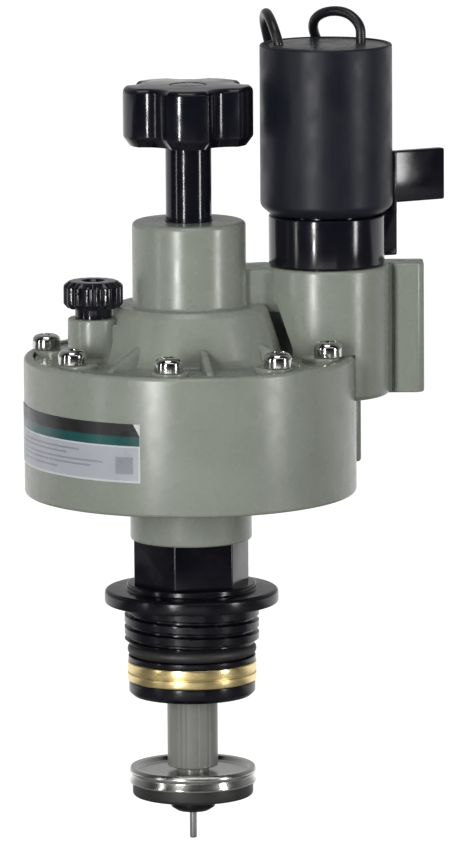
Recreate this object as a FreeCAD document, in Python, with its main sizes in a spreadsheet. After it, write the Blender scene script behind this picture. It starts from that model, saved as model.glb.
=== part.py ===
import FreeCAD, Part
import Sketcher
import math
import os
import re

# Solenoid-operated diaphragm actuator head for a valve body.
# Z is up and is the main axis. Z = 0 is the underside of the flange, where the thread begins.
# Millimetres. Every height below is measured from Z = 0, and every radius from its piece's axis.

Vector = FreeCAD.Vector
doc = FreeCAD.newDocument("actuator_head")

SIZES = {
    # lower housing
    "drum_radius": 40.9, "drum_low": 27.7, "drum_high": 61.9, "drum_wall": 2.4,
    "chamber_radius": 29.5, "floor_high": 29.3, "seat_high": 54.0,
    "neck_radius": 15.0, "neck_low": 15.9,
    # cover
    "bead_thick": 2.0, "deck_high": 61.3, "hub_low_radius": 22.7, "hub_high_radius": 18.8,
    "hub_high": 74.4, "throat_radius": 14.0, "throat_high": 95.0, "spring_roof": 70.0,
    "pad_high": 62.6, "pad_radius": 4.6,
    # cover screws
    "screw_circle": 35.7, "screw_radius": 2.0, "head_radius": 3.5, "head_tall": 3.7,
    "screw_low": 45.0,
    # solenoid boss and the pieces on its axis
    "side_angle": 104.5, "side_reach": 35.0, "boss_radius": 15.5, "boss_low": 50.4,
    "boss_high": 82.8, "socket_radius": 11.6, "socket_low": 73.8,
    "lug_reach": 57.9, "lug_front": 9.0, "lug_thick": 8.7,
    "collar_radius": 14.3, "collar_high": 95.2,
    "coil_radius": 16.3, "coil_low": 95.7, "coil_high": 137.4, "coil_wall": 2.4,
    "tube_radius": 5.2, "plunger_radius": 4.4, "plunger_low": 90.0, "plunger_high": 114.0,
    "plunger_lift": 2.5,
    # manual bleed screw
    "bleed_angle": -75.5, "bleed_reach": 24.3, "bleed_boss_radius": 6.3, "bleed_boss_high": 72.0,
    "bleed_knob_radius": 7.4, "bleed_knob_low": 74.5, "bleed_knob_high": 81.1,
    # flow control stem and handle
    "spindle_radius": 5.65, "spindle_low": 62.6, "handle_low": 114.0, "handle_high": 128.5,
    "handle_radius": 16.3, "handle_waist": 12.9, "insert_radius": 8.5,
    # adapter
    "spigot_radius": 11.0, "hex_flats": 25.3, "hex_low": 5.0, "shoulder_radius": 16.0,
    "flange_radius": 21.5, "flange_thick": 3.5, "thread_radius": 16.65, "thread_root": 15.5,
    "thread_low": -10.0, "thread_pitch": 3.0, "seal_middle": -11.6, "seal_thick": 1.45,
    "land_radius": 15.75, "barrel_radius": 12.4, "brass_radius": 15.95, "brass_high": -14.5,
    "brass_low": -19.4, "lip_low": -23.1,
    # sliding stem with its diaphragm and seat washer
    "stem_radius": 6.25, "stem_bore": 2.25, "stud_radius": 4.0, "plate_radius": 19.5,
    "plate_low": 38.0, "plate_thick": 2.0, "nut_tall": 5.0,
    "cup_radius": 15.75, "cup_high": -41.2, "cup_low": -45.2, "washer_low": -48.5,
    "pin_radius": 0.875, "pin_low": -59.5,
    # fits
    "slide_gap": 0.06, "press_gap": 0.03,
    # lead wires
    "wire_radius": 1.25,
    # label
    "label_low": 36.1, "label_high": 50.5, "label_thick": 0.3,
}

sheet = doc.addObject("Spreadsheet::Sheet", "Sizes")
for row, (alias, value) in enumerate(SIZES.items(), start=1):
    sheet.set(f"A{row}", alias.replace("_", " "))
    sheet.set(f"B{row}", str(value))
    sheet.setAlias(f"B{row}", alias)
doc.recompute()


def bound(text):
    """The expression with each size's name turned into a reference to its cell."""
    return re.sub(r"[a-z]+(_[a-z]+)*", lambda w: "Sizes." + w[0] if w[0] in SIZES else w[0], str(text))


def value(text):
    """What an expression comes to now."""
    return float(sheet.evalExpression(bound(text)))


def tie(thing, **settings):
    """Binds properties to expressions; a double underscore in a name stands for a dot."""
    for name, text in settings.items():
        thing.setExpression(name.replace("__", "."), bound(text))


def place(thing, x=0, y=0, z=0, turn=0):
    """Binds a piece's place, and its turn about Z in degrees."""
    path = ".Placement."
    for axis, text in zip("xyz", (x, y, z)):
        thing.setExpression(f"{path}Base.{axis}", bound(text))
    thing.setExpression(path + "Rotation.Angle", bound(turn))
    return thing


def around(angle, reach):
    """X and Y of a point at an angle from -Y towards +X, in degrees, as expressions."""
    return f"({reach}) * sin(({angle}) * 1deg)", f"-({reach}) * cos(({angle}) * 1deg)"


def new_body(label):
    body = doc.addObject("PartDesign::Body", label)
    body.Label = label
    return body


def plane(body, role):
    return next(f for f in body.Origin.OriginFeatures if f.Role == role)


def new_sketch(body, role, up=0):
    """A sketch on one of the body's own planes, raised along that plane's normal."""
    sketch = body.newObject("Sketcher::SketchObject", "Sketch")
    sketch.AttachmentSupport = [(plane(body, role), "")]
    sketch.MapMode = "FlatFace"
    sketch.setExpression(".AttachmentOffset.Base.z", bound(up))
    return sketch


def pin_point(sketch, edge, end, name, x, y):
    """Holds one end of an edge at a distance from the sketch's origin that follows the sheet."""
    for kind, text in (("DistanceX", x), ("DistanceY", y)):
        index = sketch.addConstraint(Sketcher.Constraint(kind, -1, 1, edge, end, value(text)))
        label = f"{name}_{kind}"
        sketch.renameConstraint(index, label)
        sketch.setExpression("Constraints." + label, bound(text))


def outlines(body, role, loops, up=0):
    """Closed outlines of straight edges, each through corners given as pairs of expressions."""
    sketch = new_sketch(body, role, up)
    first = 0
    for corners in loops:
        spots = [Vector(value(x), value(y), 0) for x, y in corners]
        count = len(spots)
        for here, there in zip(spots, spots[1:] + spots[:1]):
            sketch.addGeometry(Part.LineSegment(here, there), False)
        for edge in range(count):
            ends = first + edge, 2, first + (edge + 1) % count, 1
            sketch.addConstraint(Sketcher.Constraint("Coincident", *ends))
        for edge, (x, y) in enumerate(corners, start=first):
            pin_point(sketch, edge, 1, f"Corner{edge}", x, y)
        first += count
    return sketch


def outline(body, role, corners, up=0):
    """One closed outline."""
    return outlines(body, role, [corners], up)


def circles(body, radius, centres, up=0):
    """Circles of one radius on the XY plane."""
    sketch = new_sketch(body, "XY_Plane", up)
    for number, (x, y) in enumerate(centres):
        middle = Vector(value(x), value(y), 0)
        sketch.addGeometry(Part.Circle(middle, Vector(0, 0, 1), value(radius)), False)
        pin_point(sketch, number, 3, f"Centre{number}", x, y)
        index = sketch.addConstraint(Sketcher.Constraint("Radius", number, value(radius)))
        sketch.renameConstraint(index, f"Radius{number}")
        sketch.setExpression(f"Constraints.Radius{number}", bound(radius))
    return sketch


def turned_feature(body, corners, kind="Revolution"):
    """A solid of revolution, or a groove, from (radius, height) corners."""
    feature = body.newObject("PartDesign::" + kind, kind)
    feature.Profile = outline(body, "XZ_Plane", corners)
    feature.ReferenceAxis = (feature.Profile[0], ["V_Axis"])
    feature.Angle = 360
    return feature


def turned(label, corners, **spot):
    """A turned piece in a body of its own."""
    body = new_body(label)
    turned_feature(body, corners)
    return place(body, **spot)


def tube(label, outer, inner, low, high, **spot):
    """A plain bush or sleeve."""
    return turned(label, [(inner, low), (outer, low), (outer, high), (inner, high)], **spot)


def raised(body, sketch, tall, kind="Pad"):
    """A pad, or a pocket that cuts upwards, of that height."""
    feature = body.newObject("PartDesign::" + kind, kind)
    feature.Profile = sketch
    tie(feature, Length=tall)
    if kind == "Pocket":
        feature.Reversed = True
    return feature


def repeated(body, features, count):
    """The features again, evenly spaced about the body's Z axis."""
    pattern = body.newObject("PartDesign::PolarPattern", "PolarPattern")
    pattern.Originals = features
    pattern.Axis = (plane(body, "Z_Axis"), [""])
    pattern.Angle = 360
    pattern.Occurrences = count
    body.Tip = pattern
    return pattern


def shape_so_far(feature):
    """The solid that a feature starts from."""
    doc.recompute()
    return feature.BaseFeature.Shape


def hexagon(body, flats, tall, up, turn=0):
    """A pad with six flats."""
    corner = f"({flats}) / sqrt(3)"
    corners = [around(f"{turn} + {60 * k}", corner) for k in range(6)]
    return raised(body, outline(body, "XY_Plane", corners, up), tall)


def ring(label, middle, thick, **spot):
    """An O-ring."""
    torus = doc.addObject("Part::Torus", label)
    torus.Label = label
    tie(torus, Radius1=middle, Radius2=thick)
    return place(torus, **spot)


def solid_group(label, solids):
    """One node that holds several solids, or a solid that no feature describes."""
    feature = doc.addObject("Part::Feature", label)
    feature.Label = label
    feature.Shape = solids[0] if len(solids) == 1 else Part.Compound(solids)
    return feature


SIDE_X, SIDE_Y = around("side_angle", "side_reach")
BLEED_X, BLEED_Y = around("bleed_angle", "bleed_reach")
# Eight cover screws lie in mirrored pairs about the line from the bleed screw to the solenoid.
# They are evenly spaced, except that the last pair is drawn back to clear the solenoid boss.
SCREW_TURNS = (22.5, 67.5, 112.5, 147)
SCREW_ANGLES = [f"bleed_angle {sign} {turn}" for turn in SCREW_TURNS for sign in "+-"]
SCREW_SPOTS = [around(angle, "screw_circle") for angle in SCREW_ANGLES]
# The hollows between them: (turn from the bleed screw, half their spread), in degrees.
HOLLOWS = [(0, 14), (45, 14), (-45, 14), (90, 14), (-90, 14), (129.75, 8), (-129.75, 8), (180, 23)]
STEM_GLANDS = ("hex_low + 3", "thread_low + 1")


# ---------------------------------------------------------------- housings

def lower_housing():
    """The drum: a round chamber for the diaphragm, cored out from below between its screw bosses."""
    body = new_body("drum")
    edge = 0.5
    rim = "drum_radius - drum_wall"
    turned_feature(body, [
        ("spigot_radius + press_gap", "neck_low"),
        (f"neck_radius - {edge}", "neck_low"), ("neck_radius", f"neck_low + {edge}"),
        ("neck_radius", "drum_low"), (f"drum_radius - {edge}", "drum_low"),
        ("drum_radius", f"drum_low + {edge}"), ("drum_radius", f"drum_high - {edge}"),
        (f"drum_radius - {edge}", "drum_high"), (rim, "drum_high"), (rim, "seat_high"),
        ("chamber_radius", "seat_high"), ("chamber_radius", "floor_high"),
        ("stem_radius + 1", "floor_high"), ("stem_radius + 1", "floor_high - 5"),
        ("spigot_radius + press_gap", "floor_high - 5"),
    ])
    # a port rib on the outside, below the solenoid boss
    low, high, half = "drum_low + 5.7", "boss_low - 0.5", 4
    rib = outline(body, "XY_Plane", [
        around(f"side_angle - {half + 1.5}", "drum_radius - 1"),
        around(f"side_angle - {half}", "drum_radius + 2.2"),
        around(f"side_angle + {half}", "drum_radius + 2.2"),
        around(f"side_angle + {half + 1.5}", "drum_radius - 1"),
    ], low)
    raised(body, rib, f"({high}) - ({low})")
    port = circles(body, 0.9, [around("side_angle", "drum_radius + 0.4")], f"{low} + 3")
    raised(body, port, f"({high}) - ({low}) - 2", "Pocket")
    # cored-out pockets and tapped holes
    inner, outer = "chamber_radius + 2", "drum_radius - drum_wall - 0.4"
    loops = []
    for turn, spread in HOLLOWS:
        steps = [f"bleed_angle + {turn} + {a}" for a in (-spread, 0, spread)]
        loops.append([around(a, outer) for a in steps] + [around(a, inner) for a in reversed(steps)])
    cores = outlines(body, "XY_Plane", loops, "drum_low - 1")
    raised(body, cores, "seat_high - drum_low - 3", "Pocket")
    tapped = circles(body, "screw_radius + press_gap", SCREW_SPOTS, "screw_low - 1")
    raised(body, tapped, "seat_high - screw_low + 2", "Pocket")


def cover():
    """The cover: deck, hub, throat, bleed boss, and the solenoid boss that overhangs the drum."""
    body = new_body("cover")
    raised(body, circles(body, "boss_radius", [(SIDE_X, SIDE_Y)], "boss_low"), "boss_high - boss_low")
    fin = outline(body, "XY_Plane", [
        (SIDE_X, "lug_front"), ("lug_reach - 1.6", "lug_front"), ("lug_reach", "lug_front + 1.3"),
        ("lug_reach", "lug_front + lug_thick"), (SIDE_X, "lug_front + lug_thick"),
    ], "boss_low")
    raised(body, fin, "boss_high - boss_low")
    # clear of the drum's wall and, above the deck, of the hub
    moat = "hub_low_radius + 2.9"
    turned_feature(body, [
        (0, "boss_low - 1"), ("drum_radius + 0.3", "boss_low - 1"),
        ("drum_radius + 0.3", "drum_high + 0.3"), ("drum_radius - drum_wall - 0.3", "drum_high + 0.3"),
        ("drum_radius - drum_wall - 0.3", "deck_high - 0.3"), (moat, "deck_high - 0.3"),
        (moat, "deck_high + 2.3"), ("hub_high_radius + 2.8", "hub_high - 0.4"), (0, "hub_high - 0.4"),
    ], "Groove")
    edge = "drum_radius - drum_wall - 0.3"
    low = "seat_high + bead_thick"
    turned_feature(body, [
        ("chamber_radius", low), (edge, low), (edge, "deck_high"),
        ("hub_low_radius + 0.5", "deck_high"), ("hub_low_radius", "deck_high + 1"),
        ("hub_high_radius + 0.5", "hub_high - 1.2"), ("hub_high_radius - 0.8", "hub_high"),
        ("throat_radius", "hub_high"), ("throat_radius", "throat_high - 1.2"),
        ("throat_radius - 0.4", "throat_high - 0.4"), ("throat_radius - 1.2", "throat_high"),
        ("spindle_radius + slide_gap", "throat_high"), ("spindle_radius + slide_gap", "spring_roof + 12"),
        ("insert_radius + press_gap", "spring_roof + 12"), ("insert_radius + press_gap", "spring_roof"),
        ("plate_radius - 2", "spring_roof"), ("plate_radius - 1", "deck_high - 1.5"),
        ("chamber_radius", "deck_high - 2"),
    ])
    # screw pads, and gussets from the hub down to the deck between them
    pads = circles(body, "pad_radius", [around(a, "screw_circle - 1.9") for a in SCREW_ANGLES],
                   "deck_high - 0.5")
    raised(body, pads, "pad_high - deck_high + 0.5")
    profile = outline(body, "XZ_Plane", [
        ("hub_high_radius - 1", "deck_high - 0.5"), ("screw_circle - 3", "deck_high - 0.5"),
        ("screw_circle - 3", "deck_high + 0.8"), ("hub_high_radius - 1", "hub_high - 7.5"),
    ])
    profile.AttachmentOffset = FreeCAD.Placement(Vector(), FreeCAD.Rotation(Vector(0, 1, 0), 1))
    tie(profile, AttachmentOffset__Rotation__Angle="(side_angle - 95.5) * 1deg")
    gusset = raised(body, profile, 2.2)
    gusset.Midplane = True
    repeated(body, [gusset], 8)
    # bleed boss with its web
    raised(body, circles(body, "bleed_boss_radius", [(BLEED_X, BLEED_Y)], "deck_high - 2"),
           "bleed_boss_high - deck_high + 2")
    web = outline(body, "XY_Plane", [
        around("bleed_angle - 12", "bleed_reach"), around("bleed_angle + 12", "bleed_reach"),
        around("bleed_angle + 17", "hub_high_radius"), around("bleed_angle - 17", "hub_high_radius"),
    ], "deck_high + 2")
    raised(body, web, "bleed_boss_high - deck_high - 2.6")
    # bridge from the throat to the solenoid boss
    bridge = outline(body, "XY_Plane", [
        around("side_angle - 22", "throat_radius - 1"), around("side_angle - 11", "side_reach - 11"),
        around("side_angle + 22", "side_reach - 11"), around("side_angle + 40", "throat_radius - 1"),
    ], "hub_high - 2")
    raised(body, bridge, "boss_high - hub_high + 2")
    clearance = circles(body, "screw_radius + 0.15", SCREW_SPOTS, "seat_high")
    raised(body, clearance, "pad_high - seat_high + 1", "Pocket")
    # sockets and ports
    socket = circles(body, "socket_radius", [(SIDE_X, SIDE_Y)], "socket_low")
    raised(body, socket, "boss_high - socket_low + 1", "Pocket")
    vent = circles(body, 1.5, [(SIDE_X, SIDE_Y)], "drum_high + 4")
    raised(body, vent, "socket_low - drum_high", "Pocket")
    seat = circles(body, 2.6, [(BLEED_X, BLEED_Y)], "deck_high + 1")
    raised(body, seat, "bleed_boss_high - deck_high", "Pocket")
    vent = circles(body, 0.9, [(BLEED_X, BLEED_Y)], "deck_high - 4")
    raised(body, vent, 6, "Pocket")
    slit = outline(body, "XY_Plane", [
        (f"{SIDE_X} + boss_radius + 1.2", "lug_front + 3.7"), ("lug_reach + 1", "lug_front + 3.7"),
        ("lug_reach + 1", "lug_front + 5"), (f"{SIDE_X} + boss_radius + 1.2", "lug_front + 5"),
    ], "boss_high - 7")
    raised(body, slit, 8, "Pocket")


def adapter():
    """The screwed adapter: spigot, hexagon, flange, thread, O-ring groove and barrel, bored for the stem."""
    body = new_body("adapter")
    bore = "stem_radius + slide_gap"
    groove_low, groove_high = "seal_middle - seal_thick - 0.05", "seal_middle + seal_thick + 0.05"
    corners = [(bore, "lip_low + 0.6"), ("barrel_radius", "lip_low + 0.6"), ("barrel_radius", "brass_high"),
               ("land_radius", "brass_high"), ("land_radius", groove_low),
               ("barrel_radius + 0.6", groove_low), ("barrel_radius + 0.6", groove_high),
               ("thread_root", groove_high)]
    # thread ridges, from the bottom one up
    flat, flank = 1.5, 0.55
    turns = int((0 - SIZES["thread_low"]) // SIZES["thread_pitch"])
    for turn in range(turns):
        foot = f"thread_low + {turn} * thread_pitch"
        corners += [("thread_radius", foot), ("thread_radius", f"{foot} + {flat}"),
                    ("thread_root", f"{foot} + {flat + flank}"),
                    ("thread_root", f"{foot} + thread_pitch - {flank}")]
    corners += [("thread_radius", f"thread_low + {turns} * thread_pitch"), ("thread_radius", 0),
                ("flange_radius - 0.5", 0), ("flange_radius", 0.5),
                ("flange_radius", "flange_thick - 0.6"), ("flange_radius - 0.6", "flange_thick"),
                ("shoulder_radius", "flange_thick"), ("shoulder_radius", "hex_low - 0.4"),
                ("shoulder_radius - 0.6", "hex_low"), ("spigot_radius", "hex_low"),
                ("spigot_radius", "floor_high - 5.2"), (bore, "floor_high - 5.2")]
    turned_feature(body, corners)
    hexagon(body, "hex_flats", "neck_low - hex_low + 0.5", "hex_low - 0.5", -16)
    # glands for the stem's two O-rings, and the bore through the hexagon
    turned_feature(body, [(0, "hex_low - 2"), (bore, "hex_low - 2"), (bore, "neck_low + 2"),
                          (0, "neck_low + 2")], "Groove")
    for middle in STEM_GLANDS:
        turned_feature(body, [(0, f"{middle} - 1.4"), ("stem_radius + 2.6", f"{middle} - 1.4"),
                              ("stem_radius + 2.6", f"{middle} + 1.4"), (0, f"{middle} + 1.4")],
                       "Groove")


def barrel_rings():
    """The rings on the adapter's barrel: O-ring, brass pilot ring and the bevelled lip that holds them."""
    ring("adapter_o_ring", "brass_radius - seal_thick", "seal_thick", z="seal_middle")
    inner = "barrel_radius + press_gap"
    turned("brass_ring", [
        (inner, "brass_low"), ("brass_radius - 0.3", "brass_low"), ("brass_radius", "brass_low + 0.3"),
        ("brass_radius", "brass_low + 2"), ("brass_radius - 0.35", "brass_low + 2.3"),
        ("brass_radius", "brass_low + 2.6"), ("brass_radius", "brass_high - 0.3"),
        ("brass_radius - 0.3", "brass_high"), (inner, "brass_high"),
    ])
    turned("lip_ring", [
        (inner, "lip_low + 0.57"), ("stem_radius + 1", "lip_low + 0.57"), ("stem_radius + 1", "lip_low"),
        ("brass_radius - 1.2", "lip_low"), ("brass_radius - 0.3", "lip_low + 0.9"),
        ("brass_radius - 0.3", "brass_low - 0.02"), (inner, "brass_low - 0.02"),
    ])


def stem_seals():
    """Two O-rings in the adapter's glands, in which the stem slides."""
    thick = 1.25
    rings = []
    for middle in STEM_GLANDS:
        seal = Part.makeTorus(value("stem_radius + slide_gap") + thick, thick)
        seal.translate(Vector(0, 0, value(middle)))
        rings.append(seal)
    solid_group("stem_o_rings", rings)


# ---------------------------------------------------------------- sliding stem

def sliding_stem():
    """The hollow stem, what it clamps at the diaphragm and at the seat, and the metering pin."""
    stud_high = "plate_low + 3 * plate_thick + nut_tall + 1"
    turned("valve_stem", [
        ("stem_bore", "washer_low - 2.8"), ("stud_radius", "washer_low - 2.8"),
        ("stud_radius", "cup_high"), ("stem_radius - 0.3", "cup_high"),
        ("stem_radius", "cup_high + 0.3"), ("stem_radius", "plate_low - 0.3"),
        ("stem_radius - 0.3", "plate_low"), ("stud_radius", "plate_low"),
        ("stud_radius", stud_high), ("stem_bore", stud_high),
    ])
    hole = "stud_radius + press_gap"
    for label, layer in (("diaphragm_lower_plate", 0), ("diaphragm_upper_plate", 2)):
        tube(label, "plate_radius", hole, f"plate_low + {layer} * plate_thick",
             f"plate_low + {layer + 1} * plate_thick")
    # the diaphragm hangs down in one convolution from its clamped rim to its centre
    low, high = "plate_low + plate_thick", "plate_low + 2 * plate_thick"
    rim_low, rim_high = "seat_high", "seat_high + bead_thick"
    edge = "drum_radius - drum_wall - 0.2"
    body = turned("diaphragm", [
        (hole, low), ("plate_radius + 1.5", low), ("plate_radius + 3.6", f"{low} + 1.2"),
        ("chamber_radius - 2.6", f"{rim_low} - 0.6"), ("chamber_radius - 0.3", rim_low),
        (edge, rim_low), (edge, rim_high),
        ("chamber_radius - 1.4", rim_high), ("chamber_radius - 4.4", f"{rim_high} - 1.2"),
        ("plate_radius + 1.8", f"{high} + 0.8"), ("plate_radius + 0.6", high), (hole, high),
    ])
    holes = circles(body, "screw_radius + 0.1", SCREW_SPOTS, f"{rim_low} - 1")
    raised(body, holes, "bead_thick + 2", "Pocket")
    # the nut that clamps the plates
    body = new_body("diaphragm_nut")
    nut_low = "plate_low + 3 * plate_thick"
    hexagon(body, 13, "nut_tall", nut_low)
    raised(body, circles(body, hole, [(0, 0)], f"{nut_low} - 1"), "nut_tall + 2", "Pocket")
    # seat washer, its cup and its nut
    turned("washer_cup", [
        (hole, "cup_high - 0.9"), ("cup_radius - 2.6", "cup_high - 0.9"),
        ("cup_radius - 1.9", "cup_high"), ("cup_radius - 0.5", "cup_high"),
        ("cup_radius", "cup_high - 0.5"), ("cup_radius", "cup_high - 1.7"),
        ("cup_radius - 0.6", "cup_high - 2.1"), ("cup_radius - 0.2", "cup_high - 2.6"),
        ("cup_radius - 0.2", "cup_low"), (hole, "cup_low"),
    ])
    turned("seat_washer", [
        (hole, "washer_low"), ("cup_radius - 1.4", "washer_low"),
        ("cup_radius - 0.8", "washer_low + 0.6"), ("cup_radius - 0.8", "cup_low"), (hole, "cup_low"),
    ])
    turned("washer_nut", [
        ("pin_radius + slide_gap", "washer_low - 3.9"), ("stud_radius", "washer_low - 3.9"),
        ("stud_radius + 1.5", "washer_low - 3"), ("stud_radius + 1.5", "washer_low"),
        (hole, "washer_low"), (hole, "washer_low - 2.9"), ("pin_radius + slide_gap", "washer_low - 2.9"),
    ])
    head = "washer_low - 2.85"
    turned("metering_pin", [
        (0, "pin_low"), ("pin_radius - 0.3", "pin_low"), ("pin_radius", "pin_low + 0.4"),
        ("pin_radius", head), ("stem_bore - 0.45", head), ("stem_bore - 0.45", f"{head} + 1.5"),
        (0, f"{head} + 1.5"),
    ])


def coil_spring(label, middle, wire, low, high, turns, spot=(0, 0)):
    """A round-wire compression spring, swept along its helix between two heights."""
    rise = value(high) - value(low) - 2 * value(wire)
    spine = Part.makeHelix(rise / turns, rise, value(middle))
    start = Vector(value(middle), 0, 0)
    section = Part.Wire(Part.makeCircle(value(wire), start, Vector(0, 1, 0)))
    solid = Part.Wire(spine).makePipeShell([section], True, True)
    spring = solid_group(label, [solid])
    x, y = (value(text) for text in spot)
    spring.Placement.Base = Vector(x, y, value(low) + value(wire))
    return spring


# ---------------------------------------------------------------- flow control and bleed screw

def star(body, low, tall, lobes=5):
    """A lobed pad: an arc round each lobe, joined by arcs that hollow the waist."""
    sketch = new_sketch(body, "XY_Plane", low)
    tip, waist = value("handle_radius"), value("handle_waist")
    half_lobe = math.radians(19)
    step = 2 * math.pi / lobes
    corner = tip * 0.965

    def spot(angle, radius):
        return Vector(radius * math.sin(angle), -radius * math.cos(angle), 0)

    for lobe in range(lobes):
        middle = lobe * step
        ends = spot(middle - half_lobe, corner), spot(middle + half_lobe, corner)
        sketch.addGeometry(Part.Arc(ends[0], spot(middle, tip), ends[1]), False)
        following = spot(middle + step - half_lobe, corner)
        sketch.addGeometry(Part.Arc(ends[1], spot(middle + step / 2, waist), following), False)
    feature = raised(body, sketch, tall)
    return feature


def flow_control():
    """The handle and its spindle turn in a threaded insert and drive the thrust button."""
    tube("stem_insert", "insert_radius", "spindle_radius + slide_gap", "spring_roof", "spring_roof + 11.9")
    turned("flow_spindle", [
        (0, "spindle_low"), ("spindle_radius - 0.6", "spindle_low"),
        ("spindle_radius", "spindle_low + 0.6"), ("spindle_radius", "throat_high - 10.6"),
        ("spindle_radius - 1.5", "throat_high - 10.6"), ("spindle_radius - 1.5", "throat_high - 7.8"),
        ("spindle_radius", "throat_high - 7.8"), ("spindle_radius", "handle_low"),
        ("spindle_radius - 1.6", "handle_low"), ("spindle_radius - 1.6", "handle_high - 3.6"),
        (0, "handle_high - 3.6"),
    ])
    ring("spindle_o_ring", "spindle_radius - 0.72", 0.72, z="throat_high - 9.2")
    turned("thrust_button", [
        (0, "spindle_low - 1.6"), ("spindle_radius - 1.4", "spindle_low - 1.6"),
        ("spindle_radius - 0.6", "spindle_low - 0.9"), ("spindle_radius - 0.6", "spindle_low - 0.02"),
        (0, "spindle_low - 0.02"),
    ])
    body = new_body("flow_handle")
    star(body, "handle_low", "handle_high - handle_low")
    body.newObject("PartDesign::Chamfer", "Chamfer")
    chamfer = body.Tip
    edges = [f"Edge{n}" for n, e in enumerate(shape_so_far(chamfer).Edges, start=1)
             if abs(e.BoundBox.ZLength) < 0.01 and e.BoundBox.ZMin > value("handle_low") + 1]
    chamfer.Base = (chamfer.BaseFeature, edges)
    chamfer.Size = 1.0
    raised(body, circles(body, "spindle_radius - 1.6 + press_gap", [(0, 0)], "handle_low - 1"),
           "handle_high - handle_low - 2.4", "Pocket")
    raised(body, circles(body, 4.4, [(0, 0)], "handle_high - 3.4"), 5, "Pocket")
    turned("handle_screw", [
        (0, "handle_high - 3.36"), (3.9, "handle_high - 3.36"), (3.9, "handle_high - 1.6"),
        (3.1, "handle_high - 0.7"), (0, "handle_high - 0.5"),
    ])


def bleed():
    """The knurled bleed screw with its seal and O-ring."""
    seat = "deck_high + 1"
    body = new_body("bleed_screw")
    shank = "2.6 - slide_gap"
    turned_feature(body, [
        (0, f"{seat} + 2.1"), (shank, f"{seat} + 2.1"), (shank, "bleed_boss_high - 3.6"),
        ("2.6 - 0.9", "bleed_boss_high - 3.6"), ("2.6 - 0.9", "bleed_boss_high - 1.8"),
        (shank, "bleed_boss_high - 1.8"), (shank, "bleed_boss_high + 0.1"),
        (4.5, "bleed_boss_high + 0.1"), (4.5, "bleed_knob_low"),
        ("bleed_knob_radius - 1.2", "bleed_knob_low"), ("bleed_knob_radius", "bleed_knob_low + 1"),
        ("bleed_knob_radius", "bleed_knob_high - 1"), ("bleed_knob_radius - 1.4", "bleed_knob_high"),
        (0, "bleed_knob_high"),
    ])
    flute = circles(body, 0.75, [(0, "bleed_knob_radius + 0.25")], "bleed_knob_low - 1")
    repeated(body, [raised(body, flute, 8, "Pocket")], 16)
    place(body, BLEED_X, BLEED_Y)
    ring("bleed_o_ring", 2.13, 0.41, x=BLEED_X, y=BLEED_Y, z="bleed_boss_high - 2.7")
    turned("bleed_seal", [
        (0, f"{seat} + 0.03"), (1.6, f"{seat} + 0.03"), (2.3, f"{seat} + 0.8"), (2.3, f"{seat} + 2.06"),
        (0, f"{seat} + 2.06"),
    ], x=BLEED_X, y=BLEED_Y)


def cover_screws():
    """Pan-head screws with a cross recess, one solid each, as the driver left them turned."""
    solids = []
    head, tall = value("head_radius"), value("head_tall")
    low, seat = value("screw_low"), value("pad_high")
    for number, (x, y) in enumerate(SCREW_SPOTS):
        spot = Vector(value(x), value(y), 0)
        shank = Part.makeCylinder(value("screw_radius"), seat - low + 0.5, spot + Vector(0, 0, low))
        crown = Part.makeCylinder(head, tall, spot + Vector(0, 0, seat))
        crown = crown.makeFillet(1.6, [e for e in crown.Edges if e.BoundBox.ZMin > seat + tall - 0.1])
        screw = shank.fuse(crown)
        for turn in (0, 90):
            slot = Part.makeBox(3.8, 0.8, 2, Vector(-1.9, -0.4, seat + tall - 1.6))
            slot.rotate(Vector(), Vector(0, 0, 1), turn + 31 * number)
            slot.translate(spot)
            screw = screw.cut(slot)
        solids.append(screw.removeSplitter())
    solid_group("cover_screws", solids)


# ---------------------------------------------------------------- solenoid

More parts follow.
